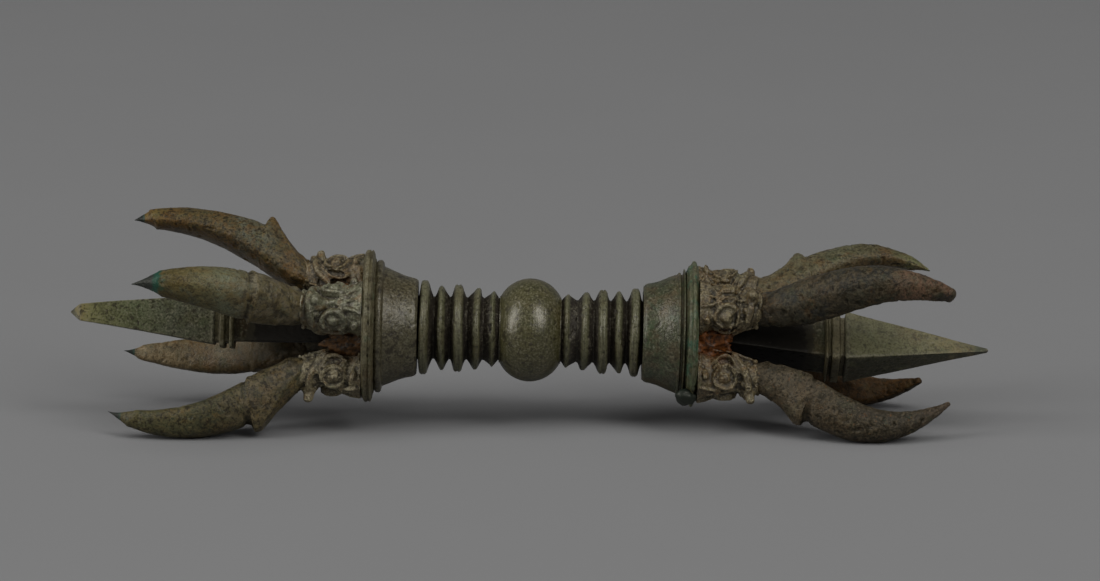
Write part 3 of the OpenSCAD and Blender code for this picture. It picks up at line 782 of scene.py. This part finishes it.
prongRows = {  # in the order of the seats; a point at 2 is none
    "bowAt": {"left": (57.5, 59.5, 59.5, 59.5), "right": (62.5, 62.5, 62.5, 62.5)},
    "run": {"left": (5, 6, 6, 6), "right": (12, 12, 12, 12)},
    "reach": {"left": (78.3, 76.6, 81.6, 80.6), "right": (78.6, 80.8, 81.6, 77.4)},
    "tip": {"left": (20.9, 20.6, 19, 18.4), "right": (16.3, 16.6, 14.6, 15.2)},
    "bow": {"left": (24, 26.9, 26.9, 26.4), "right": (25.2, 27.6, 29.8, 27.8)},
    "end": {"left": (3.4, 3.2, 2.6, 2), "right": (1.6, 3.6, 1.5, 2)},
    "thick": {"left": (7, 8, 7.8, 7.4), "right": (8, 8, 8, 8)},
    "crown": {"left": (1.2, 0, 0.2, 0), "right": (0.3, 0, 0, 0)},
    "knob": {"left": (2.7, 0.5, 2.3, 0.7), "right": (1.9, 0.3, 1.9, 1.0)},
    "step": {"left": (0.07, 0.34, 0.32, 0.18), "right": (0.14, 0.06, 0.24, 0.12)},
    "lip": {"left": (0.0, 0.16, 0.14, 0.05), "right": (0.02, 0.0, 0.08, 0.02)},
    "groove": {"left": (0.03, 0.3, 0.26, 0.1), "right": (0.12, 0.0, 0.2, 0.1)},
    "leaf": {"left": (0.5, 0.3, 0.35, 0.3), "right": (0.2, 0.0, 0.12, 0.1)},
    "fullness": {"left": (1.8, 1.8, 1.8, 1.8), "right": (1.8, 2.1, 2.4, 1.8)},
    "pointAt": {"left": (0.94, 0.885, 0.925, 0.945), "right": (2, 2, 2, 2)},
    "pointTaper": {"left": (0.82, 0.82, 0.82, 0.8), "right": (0.4, 0.05, 0.1, 0.0)},
    "darkFrom": {"left": (0.95, 0.862, 0.94, 0.95), "right": (2, 2, 2, 2)},
}


def prongSize(root, blade, tip, seam, full, t):
    if t < seam:
        return (root + (blade - root) * ease(t / seam) ** prongForm["rootSwell"]) / 2
    return (tip + (blade - tip) * (1 - ((t - seam) / (1 - seam)) ** full)) / 2


def prongPlace(end, k):
    form = prongForm
    own = {key: row[end][k] for key, row in prongRows.items()}
    p = Vector(form["root"])
    q = p + Vector((own["run"], 0))
    r, s = Vector((own["bowAt"], own["bow"])), Vector((own["reach"], own["tip"]))
    fullSeam, roundFrom, lobe = form["calyx"][end], form["roundFrom"], form["lobe"]
    tipSize, taper, full = own["end"], own["pointTaper"], own["fullness"]
    edge, leaf, wrinkle, least = form["seam"], form["leafForm"], form["wrinkle"], form["least"]
    cap = tipSize * (1 - taper) * form["cap"]

    def place(x, turn):
        co, si = math.cos(turn), math.sin(turn)
        t = min(x / roundFrom, 1.0)
        over = max((x - roundFrom) / (1 - roundFrom), 0)
        c = (1 - t) ** 3 * p + 3 * t * (1 - t) ** 2 * q + 3 * t * t * (1 - t) * r + t ** 3 * s
        d = ((1 - t) ** 2 * (q - p) + 2 * t * (1 - t) * (r - q) + t * t * (s - r)).normalized()
        seam = fullSeam - form["lean"] * (1 - co) / 2
        a = prongSize(form["rootThick"], own["thick"], tipSize, fullSeam, full, t)
        b = prongSize(form["rootWide"], form["wide"], tipSize, fullSeam, full, t)
        late = max(t - seam + lobe, 0) / lobe  # the leaf's curled tip rounds off at the seam
        crest = own["knob"] * min(t / (seam - lobe), 1) ** 4 * math.sqrt(max(1 - late ** 2, 0)) * max(co, 0) ** 3
        crest += own["crown"] * swell(t - seam, form["crownWidth"]) * max(co, 0) ** 2
        if t <= seam:
            share = t / seam
            lift = own["step"] * ease(share) + own["lip"] * swell(t - seam + edge["lip"], edge["lip"])
            bend = math.radians(leaf["turn"]) * (1 - share) ** leaf["curl"]  # leaf edges run from root to knob
            reach = math.atan2(abs(si), co) - bend
            edged = own["leaf"] * swell(reach * b, leaf["wide"])
            lift += edged * ease(share * leaf["rise"]) * (1 - leaf["fade"] * share)
            long, across = leaf["grain"]
            spot = Vector((c.x / long, co * b / across + wrinkle["apart"] * k, si * b / across))
            creased = wrinkle["depth"] * noise.noise(spot) * (1 - wrinkle["fade"] * share)
            lift += creased * ease(share * wrinkle["rise"])
        else:
            fade = ease((t - seam) / edge["fade"])
            lift = own["step"] * (1 - fade) - own["groove"] * swell(t - seam - edge["groove"], edge["grooveWide"])
        scale = 1
        pointFrom = own["pointAt"] + form["pointLean"] * co
        if t > pointFrom:
            lift -= form["pointStep"][k] * ease((t - pointFrom) / form["pointEdge"])
            scale = 1 - taper * ((t - pointFrom) / (1 - pointFrom))
        elif end == "right" and t > form["bluntFrom"]:
            scale = 1 - taper * (t - form["bluntFrom"]) / form["bluntOver"]
        size = math.sqrt(max(1 - over * over, 0.0))
        a, b = max(a + lift, least) * scale * size, max(b + lift, least) * scale * size
        if co > 0:
            rise = a * form["back"] * co ** form["backPower"]
        else:
            rise = -a * form["front"] * (-co) ** form["frontPower"]
        z = rise - a * form["shift"]
        y = b * math.copysign(abs(si) ** form["sidePower"], si)
        c = c + d * cap * over
        return c.x - d.y * z, y, c.y + d.x * z + crest

    return place


prongPlain = {
    "greenShare": 0.2, "dustShare": 0.5, "throat": 0.7, "gloss": (0.3, 0.54), "shine": 0.42,
    "bump": 1.0, "point": (7, 10, 8), "pointEdge": (14, 34, 24),
}
# each prong's dust tone lightens its ridges: dust, with a painted highlight
prongLooks = {  # colours by share from root to tip; blotches are tone, grain, low, high, share and where they fade
    "left_upper_back": {
        "seed": 51, "belly": (92, 40, 8), "streak": (84, 76, 32), "streakShare": 0.4, "rustShare": 0.65,
        "dust": (120, 76, 22), "speckShare": 0.85, "shine": 0.36,
        "along": [(0, (74, 50, 22)), (0.16, (76, 68, 40)), (0.36, (86, 98, 74)), (0.5, (54, 54, 30)),
                  (0.68, (56, 42, 16)), (0.8, (82, 40, 6)), (0.93, (170, 128, 32))],
        "blotches": [((92, 42, 8), 5, 0.54, 0.64, 0.6), ((26, 25, 14), 1.4, 0.5, 0.6, 0.8, 0.72, 0.84)]},
    "left_upper_front": {
        "seed": 52, "wander": 0.05, "streak": (104, 84, 34), "streakShare": 0.6, "drawn": (0.09, 1, 1),
        "point": (18, 21, 17), "pointEdge": (7, 50, 30), "dust": (108, 84, 32), "greenShare": 0, "shine": 0.36,
        "along": [(0, (110, 88, 54)), (0.3, (144, 126, 82)), (0.44, (122, 134, 84)), (0.62, (98, 88, 36)),
                  (0.74, (62, 46, 10)), (0.84, (56, 38, 8))],
        "blotches": [((108, 74, 26), 4, 0.52, 0.64, 0.6), ((80, 90, 58), 2.6, 0.55, 0.66, 0.6),
                     ((30, 26, 17), 1.9, 0.47, 0.57, 0.85, 0.34, 0.4)]},
    "left_lower_front": {
        "seed": 53, "streak": (44, 46, 20), "streakShare": 0.5, "rustShare": 0.5, "dust": (110, 86, 34),
        "speckShare": 0.85, "shine": 0.34,
        "along": [(0, (110, 82, 44)), (0.3, (132, 104, 60)), (0.46, (34, 31, 16)), (0.6, (62, 62, 30)),
                  (0.8, (62, 58, 25)), (0.94, (62, 46, 14))],
        "blotches": [((20, 26, 15), 2.4, 0.5, 0.62, 0.75), ((110, 72, 22), 3.4, 0.55, 0.66, 0.6),
                     ((34, 29, 18), 1.7, 0.48, 0.58, 0.75, 0.4, 0.46)]},
    "left_lower_back": {
        "seed": 54, "streak": (70, 40, 11), "drawn": (1, 0.25, 0.25), "rustShare": 0.4, "dust": (120, 94, 50),
        "along": [(0, (60, 36, 12)), (0.35, (94, 60, 20)), (0.6, (104, 70, 26)), (0.94, (280, 212, 120))],
        "blotches": [((100, 52, 14), 3, 0.54, 0.66, 0.6), ((180, 140, 80), 2, 0.56, 0.66, 0.5)]},
    "right_upper_back": {
        "seed": 55, "belly": (112, 58, 18), "rustShare": 0.5, "greenShare": 0.4, "dust": (136, 118, 60),
        "speckShare": 0.75,
        "along": [(0, (96, 74, 38)), (0.28, (78, 68, 36)), (0.5, (58, 60, 32)), (0.74, (60, 48, 20)),
                  (0.88, (100, 98, 38)), (1, (120, 120, 48))],
        "blotches": [((76, 42, 14), 4.2, 0.54, 0.64, 0.75), ((40, 50, 32), 2.4, 0.55, 0.66, 0.6)]},
    "right_upper_front": {
        "seed": 56, "second": (20, 18, 12), "belly": (54, 43, 22), "dust": (88, 70, 40), "fleckShare": 0.36,
        "speckShare": 0.75, "shine": 0.26,
        "along": [(0, (44, 35, 23)), (0.25, (26, 25, 18)), (0.45, (28, 23, 14)), (0.66, (44, 31, 16)),
                  (0.77, (128, 74, 44)), (1, (128, 68, 40))],
        "blotches": [((12, 14, 14), 4.6, 0.5, 0.57, 0.85), ((70, 38, 13), 3, 0.56, 0.66, 0.6),
                     ((36, 36, 22), 1.5, 0.52, 0.62, 0.6)]},
    "right_lower_front": {
        "seed": 57, "second": (23, 19, 11), "belly": (62, 51, 34), "bellyShare": 0.6, "dust": (104, 80, 46),
        "speckShare": 0.85, "shine": 0.3,
        "along": [(0, (56, 44, 26)), (0.25, (54, 42, 26)), (0.5, (23, 18, 10)), (0.8, (22, 16, 9)),
                  (1, (84, 56, 38))],
        "blotches": [((110, 44, 10), 0.9, 0.6, 0.7, 0.75), ((20, 17, 12), 2.6, 0.54, 0.66, 0.6)]},
    "right_lower_back": {
        "seed": 58, "second": (22, 14, 6), "belly": (78, 32, 6), "rustShare": 0.6, "dust": (46, 26, 9),
        "fleckShare": 0.28, "speckShare": 0.6, "shine": 0.2,
        "along": [(0, (44, 30, 14)), (0.5, (84, 58, 31)), (1, (16, 10, 4))],
        "blotches": [((96, 48, 14), 3.2, 0.5, 0.62, 0.65), ((14, 10, 6), 1.4, 0.53, 0.64, 0.7)]},
}
for end in ends:
    for k, seat in enumerate(seats):
        look = prongPlain | prongLooks[f"{end}_{seat}"]
        bm = bmesh.new()
        rolledTube(bm, prongForm["rings"], prongForm["around"], prongPlace(end, k))
        bmesh.ops.recalc_face_normals(bm, faces=bm.faces)
        bm.normal_update()
        belly = [0.5 - 0.5 * v.normal.z for v in bm.verts]
        weather(bm, prongForm["wear"][end], look["seed"])
        root, reach = prongForm["root"][0], prongRows["reach"][end][k]
        along = [(v.co.x / mm - root) / (reach - root) for v in bm.verts]
        darkFrom = prongRows["darkFrom"][end][k]
        point = [ease((x - darkFrom) / prongForm["pointBlend"][k] + 0.5) for x in along]
        setAt(bm, end, seatTurn(end, seat))
        finish = patina(f"prong bronze {end} {seat}", end=end, grain=prongForm["grain"][end], **look)
        finishPiece(f"prong_{end}_{seat}_horn", bm, f"prong_{end}_{seat}", finish,
                    {"along": along, "point": point, "belly": belly})
print("outer prongs drawn")

# centre prongs: a square neck and waist, then a four-sided spike
spikeForm = {
    "start": 32.6, "waistFrom": 57.5, "base": 61.5, "reach": 89.9, "turn": {"left": 76, "right": 49},
    "bend": {"left": (45, 45, 1.3), "right": (34, 26, -1.85)},  # where it starts, over what length, and how far up
    "neck": 6.4, "waist": 8, "wide": {"left": 9.8, "right": 10.7}, "tip": {"left": 3.0, "right": 0.6},
    "nose": {"left": 1.9, "right": 0.3}, "noseRound": 0.75, "noseLeast": 0.02, "baseEdge": 0.1,
    "rings": 180, "around": 168, "square": 26,
    "darkNeck": (0.43, 0.1),  # painted shadow on the neck: until this share of the length, and over how much it fades
    "wear": [(8, 0.14), (1.2, 0.06), (0.8, 0.12, 0.42)],
}
# on a spike the point tones paint shadow on its neck
spikePlain = {"throat": 0.9, "gloss": (0.36, 0.56), "wander": 0.1, "point": (3, 2, 1),
              "pointEdge": (18, 15, 8)}
spikeLooks = {
    "left": {
        "seed": 61, "second": (45, 49, 19), "fleckShare": 0.6, "rustShare": 0.25,
        # the first dark stops, up to 0.44, are painted shadow on the neck
        "along": [(0, (16, 11, 5)), (0.44, (20, 14, 6)), (0.5, (52, 50, 28)), (0.62, (53, 57, 34)),
                  (0.78, (76, 85, 38)), (0.92, (132, 126, 48)), (0.962, (180, 144, 56)), (0.978, (60, 64, 44))]},
    "right": {
        # the belly tone is painted shade on the faces turned down
        "seed": 62, "wander": 0.06, "belly": (14, 15, 9), "bellyShare": 1, "second": (63, 62, 27),
        "rustShare": 0.35,
        # the first dark stops, up to 0.44, are painted shadow on the neck
        "along": [(0, (27, 21, 8.3)), (0.44, (30, 25, 11)), (0.5, (96, 94, 43)), (0.75, (104, 100, 43)),
                  (0.86, (126, 100, 40)), (0.94, (126, 100, 44)), (0.955, (34, 40, 20))]},
}


def spikePlace(end):
    form = spikeForm
    length = form["reach"] - form["start"]

    def place(x, turn):
        s = form["start"] + length * x
        if s < form["waistFrom"]:
            half = blend(form["neck"], form["waist"], (s - form["start"]) / (form["waistFrom"] - form["start"])) / 2
        elif s < form["base"] - form["baseEdge"]:
            half = form["waist"] / 2
        else:
            share = (s - form["base"]) / (form["reach"] - form["base"])
            half = blend(form["wide"][end], form["tip"][end], max(share, 0)) / 2
        left = (form["reach"] - s) / form["nose"][end]
        if left < 1:
            half *= max(left, form["noseLeast"]) ** form["noseRound"]
        co, si, grow = squared(turn, form["square"])
        return s, half * si * grow, half * co * grow

    return place


# a spike and its band are turned alike, and have been knocked a little out of line
def setSpike(bm, end):
    setAt(bm, end, math.radians(spikeForm["turn"][end]))
    start, length, drop = spikeForm["bend"][end]
    for v in bm.verts:
        v.co.z += drop * mm * ease((abs(v.co.x) / mm - start) / length)


for end in ends:
    bm = bmesh.new()
    rolledTube(bm, spikeForm["rings"], spikeForm["around"], spikePlace(end))
    bmesh.ops.recalc_face_normals(bm, faces=bm.faces)
    weather(bm, spikeForm["wear"], spikeLooks[end]["seed"])
    length = spikeForm["reach"] - spikeForm["start"]
    along = [(v.co.x / mm - spikeForm["start"]) / length for v in bm.verts]
    setSpike(bm, end)
    bm.normal_update()
    # faces turned down, which the right spike's belly tone darkens as painted shade
    belly = [0.5 - 0.5 * v.normal.z for v in bm.verts]
    finish = patina(f"spike bronze {end}", end=end, **(spikePlain | spikeLooks[end]))
    # a spike's point mark is its neck, painted in shadow
    until, fade = spikeForm["darkNeck"]
    neck = [ease((until - x) / fade) for x in along]
    finishPiece(f"centre_prong_{end}_spike", bm, f"centre_prong_{end}", finish,
                {"along": along, "belly": belly, "point": neck})

# moulded bands: two ridges with a groove between, square round the waist
bandForm = {
    "start": 57.5, "length": 4, "wide": 10.8, "groove": 0.95, "inside": 8.1, "around": 144, "square": 16,
    "ridges": {"left": ((0.05, 1.2), (1.75, 3.1)), "right": ((0.05, 0.9), (1.25, 3.15))},
    "step": 0.2, "round": 0.15, "foot": 0.1, "bevel": 0.2,  # roundings of the rest, of a ridge's foot and of its top
    "flank": 0.12, "shoulder": 0.35, "drop": 0.2, "short": 0.05, "seed": {"left": 71, "right": 72},
    "wear": [(4, 0.1), (1.0, 0.08), (0.8, 0.16, 0.4)],
}
bandPlain = {"seed": 10, "rustShare": 0.4, "greenShare": 0.2, "dustShare": 0.7, "soilShare": 1.0}
bandTones = {"left": {"base": (72, 62, 29), "second": (48, 41, 17)},
             "right": {"base": (122, 104, 54), "second": (84, 70, 34)}}
for end in ends:
    first, last = bandForm["start"], bandForm["start"] + bandForm["length"]
    outer, inner = bandForm["wide"] / 2, bandForm["inside"] / 2
    floor = outer - bandForm["groove"]
    foot, bevel, flank, shoulder = (bandForm[key] for key in ("foot", "bevel", "flank", "shoulder"))
    side = outer - bandForm["drop"]
    corners = [(first, inner, foot)]
    for low, high in bandForm["ridges"][end]:
        low, high = first + low, first + high
        corners += [(low, floor, foot), (low + flank, side, bevel), (low + shoulder, outer, bevel),
                    (high - shoulder, outer, bevel), (high - flank, side, bevel), (high, floor, foot)]
    close = last - bandForm["short"]
    corners += [(close, floor, foot), (close, inner, foot)]
    profile = softened(corners, bandForm["round"], bandForm["step"])
    count = len(profile)

    def bandPlace(x, turn):
        at = (x * count) % count
        s, half = profile[int(at) % count].lerp(profile[(int(at) + 1) % count], at - int(at))
        co, si, grow = squared(turn, bandForm["square"])
        return s, half * si * grow, half * co * grow

    bm = bmesh.new()
    rolledTube(bm, count, bandForm["around"], bandPlace, capped=False)
    bmesh.ops.recalc_face_normals(bm, faces=bm.faces)
    weather(bm, bandForm["wear"], bandForm["seed"][end])
    setSpike(bm, end)
    finish = patina(f"band bronze {end}", **(bandPlain | bandTones[end]))
    finishPiece(f"centre_band_{end}_moulded", bm, f"centre_band_{end}", finish)
print("spikes and bands made")

# the rod is closed in, so it keeps its plain solid
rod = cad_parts["core_rod"].data
rod.materials.clear()
rod.materials.append(patina("core rust", seed=7, base=(60, 30, 14), second=(30, 16, 9), rustShare=0.9,
                            greenShare=0, gloss=(0.7, 0.9)))
for mark in ("hollow", "ridge"):
    storeValues(rod, mark, [0.0] * len(rod.vertices))

# the part rests on three of its lower prongs
restOn = ("prong_left_lower_front", "prong_right_lower_front", "prong_right_lower_back")
up = Vector((0, 0, 1))
for _ in range(6):  # rounds, more than it takes to settle
    feet = [min((v.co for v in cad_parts[n].data.vertices), key=lambda p: p.dot(up)) for n in restOn]
    up = (feet[1] - feet[0]).cross(feet[2] - feet[0]).normalized()
    up = up if up.z > 0 else -up
print("rests on", [tuple(round(c / mm, 1) for c in foot) for foot in feet], "up", tuple(round(c, 4) for c in up))

# studio
studio = {"floor": (188, 188, 188), "mottle": (0.98, 1.02), "floorSize": 6.0, "floorParts": 8, "gap": 0.02,
          "cloud": (60, 2, 0.55, 0), "air": (0.125, 0.125, 0.127)}
ahead = Vector((0, 1, 0))
right = ahead.cross(up).normalized()
ahead = up.cross(right).normalized()
base = Matrix((right, ahead, up)).transposed().to_4x4()
base.translation = feet[0] - up * studio["gap"] * mm
bm = bmesh.new()
parts = studio["floorParts"]
bmesh.ops.create_grid(bm, x_segments=parts, y_segments=parts, size=studio["floorSize"] / 2, matrix=base)
floor = linked("studioFloor", meshOf("studioFloor", bm))
paper = bpy.data.materials.new("studio paper")
paper.use_nodes = True
tree = paper.node_tree
place = addNode(tree, "ShaderNodeTexCoord").outputs["Object"]
dim, bright = (tuple(c * share for c in studio["floor"]) for share in studio["mottle"])
shader = tree.nodes["Principled BSDF"].inputs
feed(tree, shader["Base Color"], layered(tree, cloud(tree, place, *studio["cloud"]), dim, bright))
feed(tree, shader["Roughness"], 0.9)
floor.data.materials.append(paper)

lampForm = {  # azimuth and elevation as the camera sees them, then distance, width, height and watts
    "key": {"turn": -70, "rise": 28, "far": 2.2, "wide": 0.8, "tall": 1.8, "watts": 24},
    "fill": {"turn": 42, "rise": 40, "far": 2.2, "wide": 0.8, "tall": 1.5, "watts": 22},
    "top": {"turn": -15, "rise": 78, "far": 2.2, "wide": 1.8, "tall": 1.8, "watts": 20},
}


# from the ball to a lamp or the camera
def toward(turn, rise):
    turn, rise = math.radians(turn), math.radians(rise)
    return (right * math.sin(turn) - ahead * math.cos(turn)) * math.cos(rise) + up * math.sin(rise)


for name, form in lampForm.items():
    data = bpy.data.lights.new(name, "AREA")
    data.shape, data.size, data.size_y, data.energy = "RECTANGLE", form["wide"], form["tall"], form["watts"]
    lamp = linked(name, data)
    lamp.visible_glossy = name != "top"
    way = toward(form["turn"], form["rise"])
    lamp.matrix_world = Matrix.Translation(way * form["far"]) @ way.to_track_quat("Z", "Y").to_matrix().to_4x4()

world = bpy.data.worlds.new("studio air")
world.use_nodes = True
world.node_tree.nodes["Background"].inputs["Color"].default_value = (*studio["air"], 1)
bpy.context.scene.world = world

# camera: the ball's middle falls on its place in the 1100 by 581 picture
shot = {"rise": 13.0, "far": 1.0, "picture": (1100, 581), "ballAt": (530, 330), "scale": 0.19565, "sensor": 36,
        "clip": (0.05, 20)}
way = toward(0, shot["rise"])
camRight = up.cross(way).normalized()
camUp = way.cross(camRight).normalized()
aim = Matrix((camRight, camUp, way)).transposed().to_4x4()
wide, tall = shot["picture"]
pixel = shot["scale"] * mm
offX, offY = (wide / 2 - shot["ballAt"][0]) * pixel, (shot["ballAt"][1] - tall / 2) * pixel
aim.translation = way * shot["far"] + camRight * offX + camUp * offY
lens = bpy.data.cameras.new("camera")
lens.sensor_width, lens.lens = shot["sensor"], shot["sensor"] * shot["far"] / (wide * pixel)
lens.clip_start, lens.clip_end = shot["clip"]
camera = linked("camera", lens)
camera.matrix_world = aim
bpy.context.scene.camera = camera
bpy.context.scene.view_settings.view_transform = "Standard"
print("studio set")
